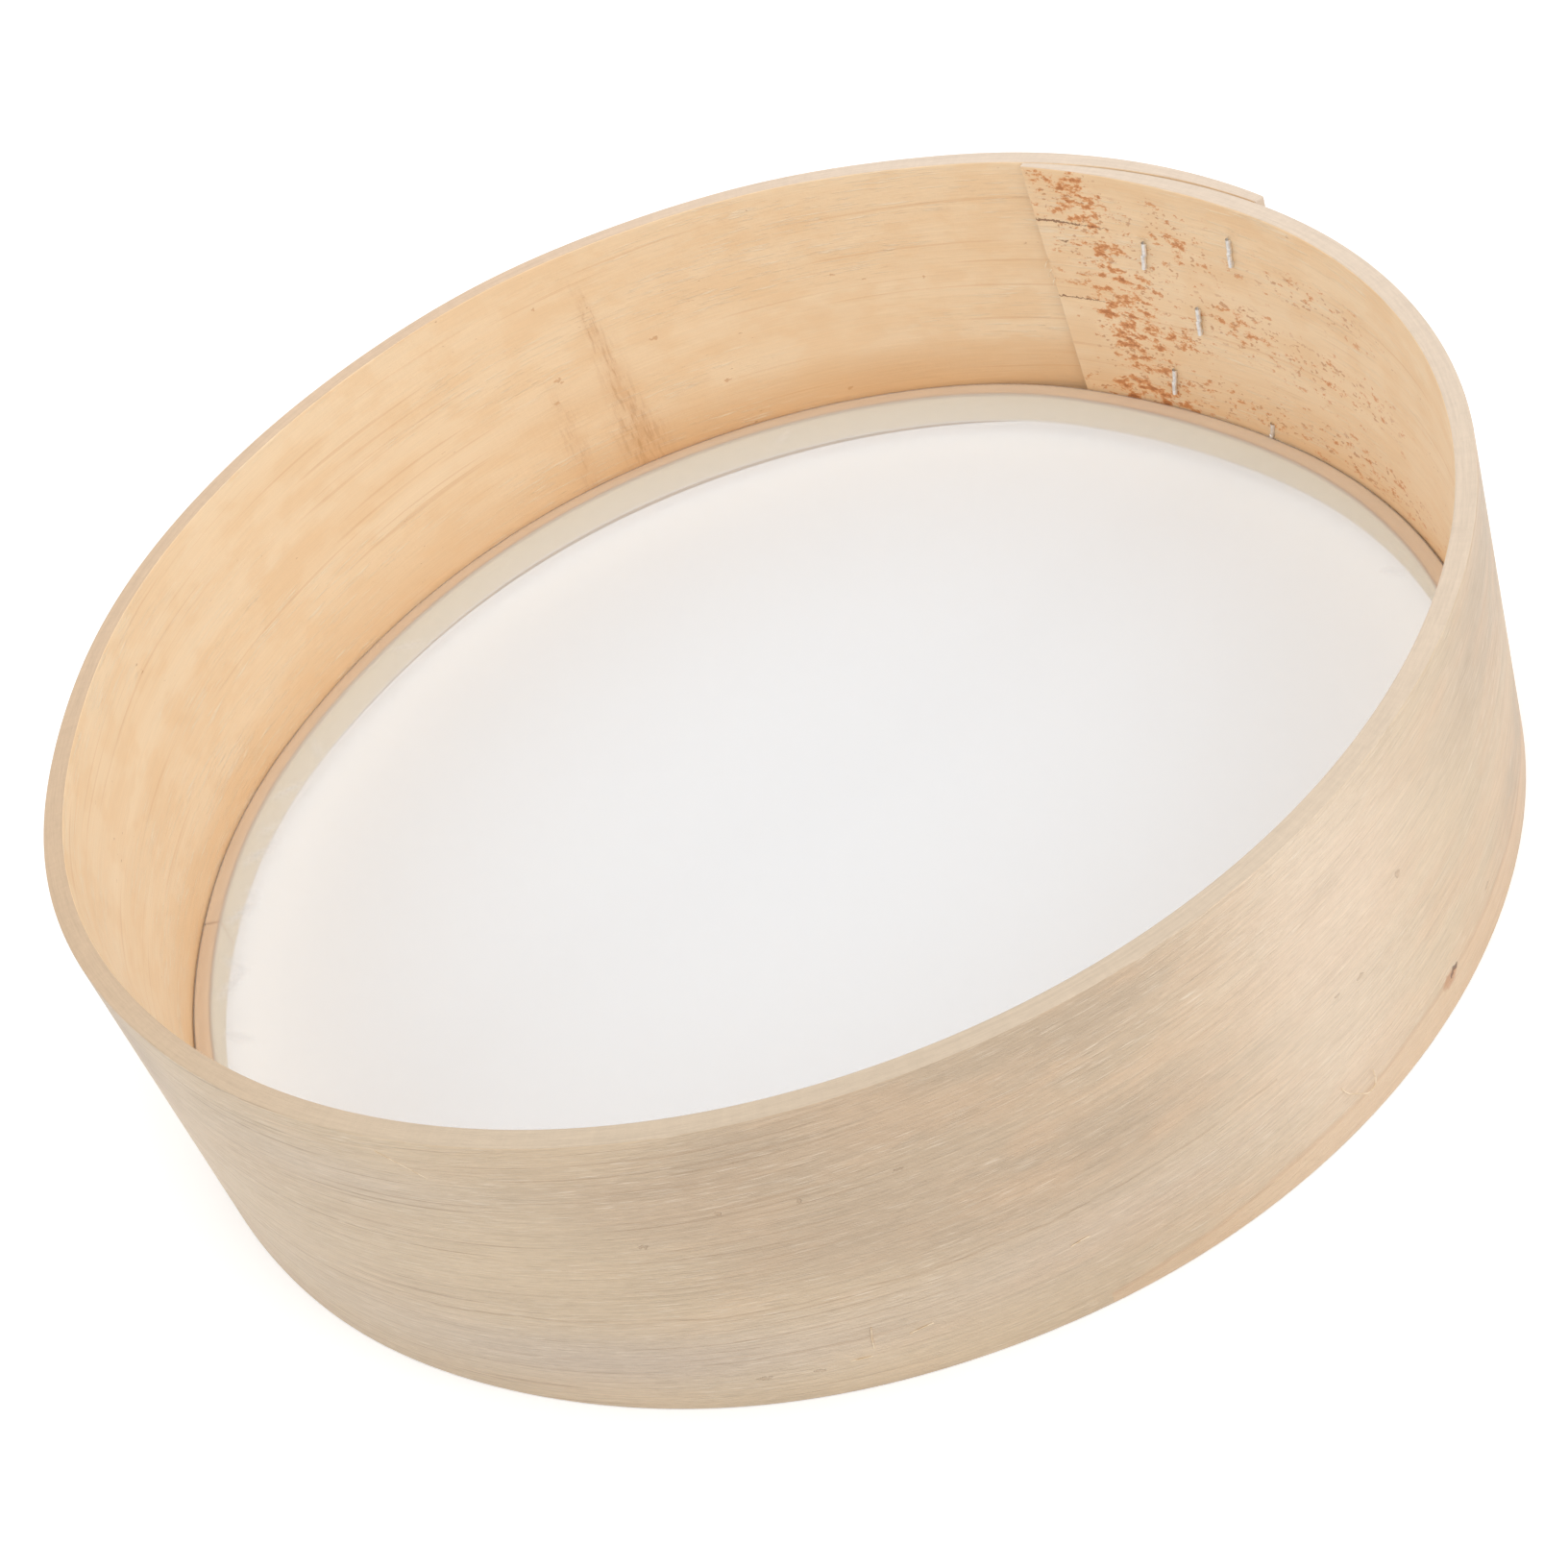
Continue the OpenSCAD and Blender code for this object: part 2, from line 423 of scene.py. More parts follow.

# %% The stain, the warmer patches, the painted highlight and shade, and the lines in the grain
# Each row is a spot: its direction, its height, half its length, half its height and its strength.
soft_marks = {
    "stain": [
        (115.6, 56, 1.6, 9, 0.8), (115.2, 38, 3.0, 13, 0.8), (115, 20, 5.5, 10, 1.0),
        (121.3, 24, 3, 16, 0.5),
    ],
    # The tan spots are painted shade, low on the far inner wall, where little light reaches its foot.
    "tan": [
        (112, 15, 34, 8, 1.0), (88, 17, 34, 8, 1.0), (68, 18, 20, 7, 0.6), (120, 36, 20, 6, 0.4),
    ],
    "cool": [
        (-96, 15, 62, 9, 0.9), (-60, 22, 40, 8, 0.5), (-125, 40, 50, 30, 0.15),
        (-112, 62, 30, 6, 0.5),
    ],
    # The pale spots are a painted highlight: a vertical band of light on the outer face, where the front
    # lamp's sheen falls.
    "pale": [
        (-39, 40, 26, 90, 0.9), (-34, 60, 30, 20, 0.3),
    ],
    # The warm spots are darker patches of the wood, except the spot at -4 degrees and 8 mm, which is
    # painted shade at the lower right end.
    "warm": [
        (-68, 73, 40, 12, 1.1), (-70, 42, 44, 10, 0.8), (-84, 58, 30, 12, 0.5),
        (-60, 36, 34, 50, 0.4), (-136, 66, 14, 16, 0.6), (-4, 8, 26, 14, 1.1),
        (22, 72, 26, 14, 0.9), (-16, 60, 30, 16, 0.3), (-3, 60, 26, 20, 0.9), (24, 50, 24, 30, 0.4),
        (-95, 15, 30, 5, 0.4), (60, 40, 60, 12, 0.7), (150, 20, 60, 10, 0.7),
    ],
}
for name, spots in soft_marks.items():
    note_points(strip, name, [soft_spots(point, placed(spots)) for point in flat_points])
    print(f"{len(spots)} soft spots make up the {name} marks")

# Each line is given by its heights at some directions.
grain_lines = {
    "over_heartwood": [(-62, 2.5), (-47, 6.6), (-38, 7.4), (-26, 8.9), (-10, 9.3), (40, 7)],
    "over_seam": [(-132, 21.5), (-103, 27.3), (-60, 29), (-45, 29.5)],
}
for name, line in grain_lines.items():
    note_points(strip, name, [height_over(point, line) for point in flat_points])

# %% [markdown]
# ## Bending the strip
# The board is bent as on the bench: a curve stands for the former, and the Curve modifier lays the
# board along it. X becomes the way along the curve, and Y turns inwards.

# %% Draw the former
def arc_points(centre, radius, start, stop, step=0.5):
    """Points along an arc, about step degrees apart, without the last one."""
    count = max(2, round((stop - start) / step))
    return [centre + radius * toward(start + (stop - start) * i / count) for i in range(count)]


def draw_curve(name, points, dimensions, kind):
    """A curve through the points."""
    curve = bpy.data.curves.new(name, "CURVE")
    curve.dimensions = dimensions
    line = curve.splines.new(kind)
    line.points.add(len(points) - 1)
    for knot, point in zip(line.points, points):
        knot.co = (*point.to_3d(), 1)
    return put_in_scene(name, curve)


def bend_along(piece, points):
    """Lays a flat board along a curve through the points, its outer face on the curve."""
    former = draw_curve("former", points, "2D", "POLY")
    bend = piece.modifiers.new("bend", "CURVE")
    bend.object = former
    bend.deform_axis = "POS_X"
    only(piece)
    bpy.ops.object.modifier_apply(modifier=bend.name)
    bpy.data.objects.remove(former)
    widest = max(vertex.co.xy.length for vertex in piece.data.vertices)
    print(f"{piece.name} reaches {1000 * widest:.2f} mm from the axis")


# %% Bend the strip
spare = 2
path = arc_points(axis, drum_r, lap_from, 360 + ease_from)
path += arc_points(ease_c, ease_r, ease_from, ease_a)
path += arc_points(lap_c, lap_r, ease_a, lap_a + spare)
bend_along(strip, path)
stand_for(strip, "drum_hoop", "drum_wood")

# %% [markdown]
# ## The low hoop
# The low hoop is a second, narrower board. It lies against the cloth's margin all the way round, so
# it follows the drum's inner face, drawn in by the thickness of the cloth: over the plain circle,
# the eased stretch, the shaved inner end and one more arc that leads from that end back to the
# circle. Its two ends only butt against each other, because the drum keeps it from springing open.

# %% Draw the low hoop's former
def inside_path(depth, start):
    """The drum's inner face, drawn in by depth, once round from a direction past the lap."""
    around = arc_points(axis, bore_r - depth, start, 360 + ease_from)
    around += arc_points(ease_c, ease_r - strip_t - depth, ease_from, ease_a)
    around += arc_points(shave_c, shave_r - depth, ease_a, shave_a)
    around += arc_points(back_c, back_r - depth, shave_a, back_a)
    around += arc_points(axis, bore_r - depth, back_a, start)
    return around + [(bore_r - depth) * toward(start)]


low_path = inside_path(clamp_in, butt_at)
low_l = sum((b - a).length for a, b in zip(low_path, low_path[1:])) - butt_gap
print(f"the low hoop is cut {1000 * low_l:.1f} mm long")

# %% Bend the low hoop
clamp_h = clamp_top - clamp_foot
low_edge = 0.3 * mm
low_hoop = cut_board("pressed_in_hoop", low_l, clamp_t, clamp_foot, clamp_h, low_edge, (99, 3), 6, 2)
note_points(low_hoop, "board", [vertex.co.copy() for vertex in low_hoop.data.vertices])
bend_along(low_hoop, low_path)
stand_for(low_hoop, "clamping_hoop", "clamp_wood")

# %% [markdown]
# ## The cloth
# The cloth is one piece: a disc, with its margin turned down between the two hoops. A ring of points
# at the margin's lower edge is extruded up, round the corner and inwards in steps, as a lampshade or
# a drumhead would be. The steps are small near the edge, where the cloth shows faint wrinkles, and
# larger in the middle, where it is flat. Then the round piece is fitted to the real inner face,
# which isn't quite a circle at the lap.

# %% Make the cloth
cloth_in = 0.25 * mm
corner_r = 0.4 * mm
ring_points = 720


def add_ring(radius_from, radius_to, rise):
    """Extrudes the selected ring to another radius and height."""
    bpy.ops.mesh.extrude_edges_move()
    share = radius_to / radius_from
    bpy.ops.transform.resize(value=(share, share, 1), center_override=(0, 0, 0))
    bpy.ops.transform.translate(value=(0, 0, rise))


start_afresh()
cloth_r = bore_r - cloth_in
bpy.ops.mesh.primitive_circle_add(vertices=ring_points, radius=cloth_r, location=(0, 0, margin_z))
cloth = begin("sieve_cloth")
wall_steps = 4
for step in range(wall_steps):
    add_ring(1, 1, (cloth_z - corner_r - margin_z) / wall_steps)
corner_steps = 3
radius = cloth_r
for step in range(corner_steps):
    turn_from = radians(90 * step / corner_steps)
    turn_to = radians(90 * (step + 1) / corner_steps)
    next_radius = cloth_r - corner_r * (1 - cos(turn_to))
    add_ring(radius, next_radius, corner_r * (sin(turn_to) - sin(turn_from)))
    radius = next_radius
fine_step = 1 * mm
wide_step = 6 * mm
fine_border = 22 * mm
while radius > 1.5 * wide_step:
    next_radius = radius - (fine_step if radius > cloth_r - fine_border else wide_step)
    add_ring(radius, next_radius, 0)
    radius = next_radius
bpy.ops.mesh.extrude_edges_move()
bpy.ops.mesh.merge(type="CENTER")
face_outwards()
print(f"the cloth has {triangles(cloth)} triangles")

# %% Fit the cloth to the inner face
def lies_on_wood(point):
    """1 for a point of the cloth over the low hoop or beside it, and 0 for one that hangs free."""
    inner_edge = inner_wall(bearing(axis, point)) - clamp_in - clamp_t
    return min(1, max(0, (point.xy.length - inner_edge) / mm + 0.5))


for vertex in cloth.data.vertices:
    place = vertex.co.xy
    if place.length > mm:
        fitted = place.length + near_wall(place) * (inner_wall(bearing(axis, place)) - bore_r)
        vertex.co.xy = place.normalized() * fitted
widest = max(vertex.co.xy.length for vertex in cloth.data.vertices)
print(f"the fitted cloth reaches {1000 * widest:.2f} mm from the axis")

# %% Faint creases beside the low hoop
# Each row leads from a direction and a distance from the axis to another pair, and rises so far.
creases = [
    (150, 140, 147, 131, 0.20), (163, 140, 166, 132, 0.15), (172, 140, 169, 132, 0.25),
    (177, 139, 175, 133, 0.20), (181, 140, 178, 132, 0.30), (184, 137, 186, 132, 0.20),
    (189, 140, 186, 132, 0.35), (193, 139, 196, 133, 0.30), (199, 140, 195, 132, 0.35),
    (203, 139, 206, 132, 0.25), (100, 139, 102, 132, 0.12), (20, 138, 22, 132, 0.15),
]
crease_w = 1.1 * mm
creased_from = 120 * mm
creased_to = 142 * mm


def lifted_by_creases(place):
    """How far the creases lift a point of the cloth, in millimetres."""
    lifted = 0
    for start, outer, stop, inner, rise in creases:
        near_end = outer * mm * toward(start)
        far_end = inner * mm * toward(stop)
        nearest, share = intersect_point_line(place, near_end, far_end)
        if 0 < share < 1:
            off = (place - nearest.xy).length / crease_w
            lifted += rise * sin(pi * share) * exp(-(off**2))
    return lifted


rises = []
for vertex in cloth.data.vertices:
    near_hoop = creased_from < vertex.co.xy.length < creased_to
    rises.append(lifted_by_creases(vertex.co.xy) if near_hoop else 0)
    vertex.co.z += mm * rises[-1]
note_points(cloth, "creased", rises)
only(cloth)
bpy.ops.object.shade_smooth_by_angle(angle=radians(60))
print(f"{len(creases)} creases, {triangles(cloth)} triangles")

# %% Measure the cloth and show it in place of the imported screen and margin
cloth_area = sum(face.area for face in cloth.data.polygons)
print(f"the cloth measures {cloth_area:.4f} square metres")
note_points(cloth, "on_wood", [lies_on_wood(vertex.co) for vertex in cloth.data.vertices])
stand_for(cloth, "mesh_screen", "nylon_cloth", "mesh_margin")

# %% [markdown]
# ## The staples
# A staple starts as a straight crown with two legs. The gun drives the legs through both layers and
# bends their tips over on the far side. Half of one is enough to model: a ring of points in the
# middle of the crown is extruded up, spun round the first bend, pushed through the wood, spun round
# the second bend and drawn out to the tip. A half turn about the way in gives the other half, with
# its leg leaning to the other side, so that the two tips pass each other.

# %% Model half a staple
wire_r = 0.6 * mm
crown_w = 9.4 * mm
bend_r = 0.9 * mm
clinch_lean = 3
tip_gap = 0.4 * mm
wire_gap = 0.08 * mm
crown_x = drum_r + wire_r + wire_gap
model_clinch_x = bore_r - 2 * mm

start_afresh()
bpy.ops.mesh.primitive_circle_add(vertices=12, radius=wire_r, location=(crown_x, 0, 0))
half = begin("half_staple")


def draw_out(step):
    """Extrudes the selected ring of points by a step."""
    bpy.ops.mesh.extrude_edges_move(TRANSFORM_OT_translate={"value": step})


shoulder_z = crown_w / 2 - bend_r
draw_out((0, 0, shoulder_z))
bpy.ops.mesh.spin(
    steps=5, angle=radians(90), center=(crown_x - bend_r, 0, shoulder_z), axis=(0, -1, 0)
)
draw_out((model_clinch_x + 2 * bend_r - crown_x, 0, 0))
lean = radians(clinch_lean)
down = Vector((0, -sin(lean), -cos(lean)))
pivot = Vector((model_clinch_x + bend_r, 0, crown_w / 2)) + bend_r * down
bpy.ops.mesh.spin(
    steps=5, angle=radians(90), center=pivot, axis=(0, -cos(lean), sin(lean))
)
leg_l = (crown_w - tip_gap) / 2 - bend_r
draw_out(0.75 * leg_l * down)
draw_out(0.25 * leg_l * down)
bpy.ops.mesh.extrude_edges_move()
tip = pivot + leg_l * down - bend_r * Vector((1, 0, 0))
bpy.ops.transform.resize(value=(0.35, 1, 1), center_override=tip)
bpy.ops.transform.translate(value=0.3 * wire_r * down)
bpy.ops.mesh.edge_face_add()
bpy.ops.object.mode_set(mode="OBJECT")
print(f"half a staple has {triangles(half)} triangles")

# %% Turn the half round to make the whole staple
only(half)
bpy.ops.object.duplicate()
other_half = bpy.context.object
other_half.rotation_euler.x = radians(180)
bpy.ops.object.transform_apply(location=True, rotation=True, scale=True)
join_to(half, [other_half])
edit_all()
same_place = 0.05 * mm
bpy.ops.mesh.remove_doubles(threshold=same_place)
face_outwards()
print(f"one staple has {triangles(half)} triangles")

# %% Drive the five staples
# Each row gives the direction, the height of the middle, the tilt and how deep the legs bite.
staple_places = [
    (57.4, 57.0 * mm, 13, 0.10 * mm),
    (46.4, 64.7 * mm, 7, 0.15 * mm),
    (52.4, 41.6 * mm, 8, 0.05 * mm),
    (57.4, 20.8 * mm, 13, 0.15 * mm),
    (46.2, 13.5 * mm, 16, 0.60 * mm),
]
staples = []
for degrees, height, tilt, bite in staple_places:
    staple = half.copy()
    staple.data = half.data.copy()
    bpy.context.collection.objects.link(staple)
    shift = inner_wall(degrees) - wire_r + bite - model_clinch_x
    for vertex in staple.data.vertices:
        if vertex.co.x < drum_r - strip_t / 2:
            vertex.co.x += shift
    upright = Matrix.Rotation(radians(tilt), 4, "X")
    swung = Matrix.Rotation(radians(degrees), 4, "Z")
    staple.data.transform(Matrix.Translation((0, 0, height)) @ swung @ upright)
    staples.append(staple)
bpy.data.objects.remove(half)
wires = staples[0]
join_to(wires, staples)
wires.name = wires.data.name = "wire_staples"
only(wires)
bpy.ops.object.shade_smooth_by_angle(angle=radians(50))
stand_for(wires, "lap_staples", "staple_wire")
print(f"{len(staples)} staples with {triangles(wires)} triangles")

# %% [markdown]
# ## Loose fibres
# Here and there the wood's torn surface has let go of a fibre. Each is a thin round curve through a
# few points, turned into a mesh and joined to the strip that it belongs to.

# %% Draw the loose fibres
def off_wall(degrees, height, off, inside):
    """A point off the drum's outer or inner face, with its height and its way off in millimetres."""
    radius = inner_wall(degrees) - off * mm if inside else drum_r + off * mm
    level = radius * toward(degrees)
    return Vector((level.x, level.y, height * mm))


def draw_fibre(points, thickness):
    """A thin round fibre through the points, as a mesh."""
    made = draw_curve("fibre", points, "3D", "NURBS")
    made.data.resolution_u = 5
    made.data.bevel_depth = thickness / 2
    made.data.bevel_resolution = 1
    made.data.use_fill_caps = True
    line = made.data.splines[0]
    line.use_endpoint_u = True
    line.order_u = 3
    only(made)
    bpy.ops.object.convert(target="MESH")
    made.data.materials.clear()
    made.data.materials.append(fibre_slot)
    return made


fibre_slot = bpy.data.materials.new("fibre")
strip.data.materials.append(fibre_slot)

# Each fibre is a row of points: a direction, a height and how far off the wall.
outside_fibres = [
    [(-78.3, 11.2, 0.1), (-78.2, 13.2, 0.2), (-78.1, 15.2, 0.2), (-77.9, 17.2, 0.1)],
    [
        (-40.4, 13.8, 0),
        (-40.1, 11.6, 0.5),
        (-39.2, 9.8, 0.8),
        (-38.2, 7.0, 0.8),
        (-37.2, 8.6, 0.9),
        (-37.4, 11.6, 0.6),
    ],
    [(-107.0, 73, 0), (-105.6, 70.6, 0.05), (-103.7, 67, -0.05)],
    [(-75.6, 12.6, 0), (-74.9, 13.4, 0.2), (-73.8, 13.7, 0)],
    [(-80.2, 9.0, 0), (-79.5, 9.3, 0.2), (-78.6, 9.1, 0)],
    [(-63.2, 19.8, 0), (-62.5, 20.6, 0.3), (-61.7, 20.3, 0)],
]
inside_fibres = [
    [(58.0, 61.6, 0), (57.4, 62.1, 0.5), (56.5, 61.8, 0.2)],
    [(68.9, 51.0, 0.2), (69.3, 50.2, 0.7), (69.3, 49.2, 1.0)],
    [(68.8, 48.4, 0.2), (69.2, 47.6, 0.8), (69.1, 46.6, 1.1)],
    [(68.7, 45.8, 0.2), (69.0, 45.1, 0.7), (68.9, 44.3, 0.9)],
]
thin = 0.2 * mm
thicker = 0.24 * mm
fibres = [draw_fibre([off_wall(*point, False) for point in row], thin) for row in outside_fibres]
fibres += [draw_fibre([off_wall(*point, True) for point in row], thicker) for row in inside_fibres]
join_to(strip, fibres)
print(f"{len(fibres)} loose fibres, {triangles(strip)} triangles in the strip")

# %% [markdown]
# ## Not quite round
# No bent hoop stays a true circle. This one bulges a little at the front left and is drawn in at the
# back left, and not by the same amount at its foot and at its rim. All the pieces are pushed alike,
# so that they stay fitted to each other.

# %% Push the drum out of round
# Each row is a direction, half its width in degrees, and the push at the foot and at the rim in
# millimetres.
bulges = [
    (-148, 13, 0.9, 0.6), (-124, 15, 1.1, 0.2), (-70, 14, -0.5, -0.2), (-172, 12, -0.5, -0.8),
    (155, 15, -1.3, -0.5), (123, 11, 0.2, 1.0), (83, 10, 0.0, -0.8),
]


def pushed(point):
    """Where a point goes when the drum is pushed out of round."""
    if point.xy.length < mm:
        return point
    share = point.z / drum_h
    push = 0
    degrees = bearing(axis, point)
    for direction, width, at_foot, at_rim in bulges:
        apart = (degrees - direction + 180) % 360 - 180
        push += exp(-((apart / width) ** 2)) * (at_foot + share * (at_rim - at_foot))
    moved = (point.xy.length + mm * push * near_wall(point.xy)) / point.xy.length
    return Vector((moved * point.x, moved * point.y, point.z))


for piece in (strip, low_hoop, cloth, wires):
    for vertex in piece.data.vertices:
        vertex.co = pushed(vertex.co)
    piece.data.update()
widest = [max(abs(vertex.co[i]) for vertex in strip.data.vertices) for i in (0, 1)]
print("the strip reaches", ", ".join(f"{1000 * reached:.2f} mm" for reached in widest))

# %% [markdown]
# ## How the finishes are put together
# A finish is a tree of shader nodes. Written out one by one, such trees are long and hard to read,
# so a small class adds the nodes. Each of its calls makes one step and gives back the socket that
# holds the result, which the next call takes. The class also keeps the colour so far, and lays the
# next colour over it through a mask, as a painter glazes a board. Patterns are read in the board's
# own millimetres, as noted before it was bent, so that the grain follows the bend as it does in
# real wood. Blender's noise stays between about 0.4 and 0.6 for most of its area, which is why the
# masks below are cut out of that range.

# %% A workshop for finishes
class Finish:
    """A material that is put together step by step."""

    def __init__(self, name, *colour):
        self.material = bpy.data.materials.new(name)
        self.material.use_nodes = True
        self.tree = self.material.node_tree
        self.tree.nodes.clear()
        self.colour = paint(*colour) if colour else None

    def node(self, kind, inputs, output=0, **settings):
        """Adds a node, sets or links its inputs and returns one of its outputs."""
        made = self.tree.nodes.new("ShaderNode" + kind)
        for setting, value in settings.items():
            setattr(made, setting, value)
        for socket, value in inputs.items():
            if isinstance(value, bpy.types.NodeSocket):
                self.tree.links.new(value, made.inputs[socket])
            else:
                made.inputs[socket].default_value = value
        return made.outputs[output] if made.outputs else None

    def sum_up(self, operation, first, second, third=0.0):
        """One step of arithmetic."""
        return self.node("Math", {0: first, 1: second, 2: third}, operation=operation)

    def vector(self, operation, first, second=(0, 0, 0), output=0):
        """One step of arithmetic with places."""
        return self.node("VectorMath", {0: first, 1: second}, output, operation=operation)

    def scale(self, value, low, high, at_low=0.0, at_high=1.0, **settings):
        """A straight rise from at_low to at_high as the value goes from low to high, and beyond."""
        inputs = {"Value": value, "From Min": low, "From Max": high, "To Min": at_low, "To Max": at_high}
        return self.node("MapRange", inputs, **(settings or {"clamp": False}))

    def share(self, *steps):
        """The same, but as a smooth step that stays flat past both ends."""
        return self.scale(*steps, interpolation_type="SMOOTHSTEP")

    def all_of(self, *masks):
        """Several masks multiplied together."""
        both = masks[0]
        for mask in masks[1:]:
            both = self.sum_up("MULTIPLY", both, mask)
        return both

    def mix(self, share, first, second, mode="MIX"):
        """Two colours mixed, or the first one changed by the second."""
        return self.node("Mix", {0: share, 6: first, 7: second}, 2, data_type="RGBA", blend_type=mode)

    def lay(self, colour, *masks):
        """Lays a colour over the colour so far, as far as all the masks allow."""
        self.colour = self.mix(self.all_of(*masks), self.colour, paint(*colour))

    def shade(self, factor):
        """Makes the colour so far lighter or darker by a factor."""
        grey = self.node("CombineColor", {0: factor, 1: factor, 2: factor})
        self.colour = self.mix(1.0, self.colour, grey, "MULTIPLY")

    def vary(self, pattern, dark, light):
        """Shades the colour so far by a noise pattern."""
        self.shade(self.scale(pattern, 0.4, 0.6, dark, light))

    def noted(self, name, output=2):
        """A value that was noted on the piece's points."""
        return self.node("Attribute", {}, output, attribute_name=name)

    def board(self, lean=0.0):
        """The place on the flat board in millimetres, with the grain leaning by some degrees."""
        place = self.vector("MULTIPLY", self.noted("board", 1), (1000, 1000, 1000))
        return self.node("Mapping", {"Vector": place, "Rotation": (0, radians(lean), 0)})

    def bent_grain(self, place, amount, length, seed):
        """The place, with its height shifted by slow waves, so that straight grain wanders."""
        wave = self.scale(self.clouds(place, length, 30, seed, 1, depth=20), 0, 1, -amount, amount)
        return self.vector("ADD", place, self.node("CombineXYZ", {"Z": wave}))

    def clouds(self, place, length, height, seed, detail=2, roughness=0.5, depth=30):
        """Noise from 0 to 1 whose spots have about that length, height and depth in millimetres."""
        inputs = {
            "Vector": place,
            "Location": (seed, 1.7 * seed, 0.6 * seed),
            "Scale": (1 / length, 1 / depth, 1 / height),
        }
        spread = self.node("Mapping", inputs)
        settings = {"Vector": spread, "Scale": 1.0, "Detail": detail, "Roughness": roughness}
        return self.node("TexNoise", settings)

    def parts(self, place):
        """The three numbers of a place: along, deep and high."""
        return [self.node("SeparateXYZ", {0: place}, i) for i in range(3)]

    def lies_toward(self, degrees):
        """How far a point of the piece lies in a direction, from the drum's axis."""
        place = self.node("TexCoord", {}, 3)
        return self.vector("DOT_PRODUCT", place, (*toward(degrees), 0), 1)

    def near(self, distance, width):
        """Mask of a fine line: 1 where the distance to it is about 0, and 0 past the width."""
        return self.share(self.sum_up("ABSOLUTE", distance, 0.0), width, 0.25 * width)

    def ragged(self, place, amount, size):
        """The place, shaken by fine noise, so that what is drawn there has a torn outline."""
        spread = self.vector("MULTIPLY", place, (1 / size, 1 / size, 1 / size))
        shake = self.node("TexNoise", {"Vector": spread, "Scale": 1.0, "Detail": 2.0}, 1)
        centred = self.vector("SUBTRACT", shake, (0.5, 0.5, 0.5))
        return self.vector("ADD", place, self.vector("MULTIPLY", centred, (amount, amount, amount)))

    def holes(self, place, rows):
        """Mask of small oval marks, each given by its place, half its length and half its height."""
        found = 0.0
        for along, height, half_l, half_h in rows:
            centred = self.vector("SUBTRACT", place, (along, 0, height))
            spread = self.vector("MULTIPLY", centred, (1 / half_l, 0, 1 / half_h))
            off = self.vector("LENGTH", spread, output=1)
            found = self.sum_up("MAXIMUM", self.share(off, 1.1, 0.6), found)
        return found

    def surface(self, roughness, height, depth, **more):
        """The wood or metal itself, with its height in millimetres times depth as relief."""
        inputs = {"Base Color": self.colour, "Roughness": roughness, **more}
        inputs["Normal"] = self.node("Bump", {"Height": height, "Distance": depth, "Strength": 1.0})
        self.node("OutputMaterial", {"Surface": self.node("BsdfPrincipled", inputs)})
        return self.material


def paint(red, green, blue):
    """A colour as picture editors give it, from 0 to 255, turned into the light that it stands for."""
    def light(value):
        value /= 255
        return value / 12.92 if value <= 0.04045 else ((value + 0.055) / 1.055) ** 2.4
    return (light(red), light(green), light(blue), 1.0)


# %% [markdown]
# ## Three faces of one strip
# The same wood looks different on each side. Inside, it was planed and has darkened to a warm, even
# tan. Outside, the plane tore it: the grain stands up in fine fibres, greyish and peach in turns.
# The rim is sawn, and pale. So the strip gets three finishes, given out by the way its faces point
# while it is still flat, where that is a simple test. Each is laid on in the order in which the wood
# got its marks: first the colour of the tree, then its fibres, then stains, cracks and pits.

# %% The outer face
# Each row is a small dark pit: its direction, its height, half its length and half its height.
outer_pits = [
    (-30.4, 46.3, 0.9, 0.8), (-38.8, 35.3, 0.8, 0.4), (-36.3, 34.2, 1.1, 0.5),
    (-84.3, 55.7, 0.9, 0.5), (-78.8, 54.7, 0.4, 0.4), (-72.0, 55.4, 1.2, 0.4),
    (-90.2, 49, 1.0, 0.4), (-18.8, 12.5, 1.3, 0.5), (-86.5, 8.2, 2.0, 0.4), (-82.5, 8.1, 1.5, 0.4),
]
knot_holes = [(-25.9, 9.1, 1.3, 0.7), (-26.5, 8.5, 0.9, 0.5)]
knot_ring = [(-26.8, 8.2, 3.2, 1.9)]


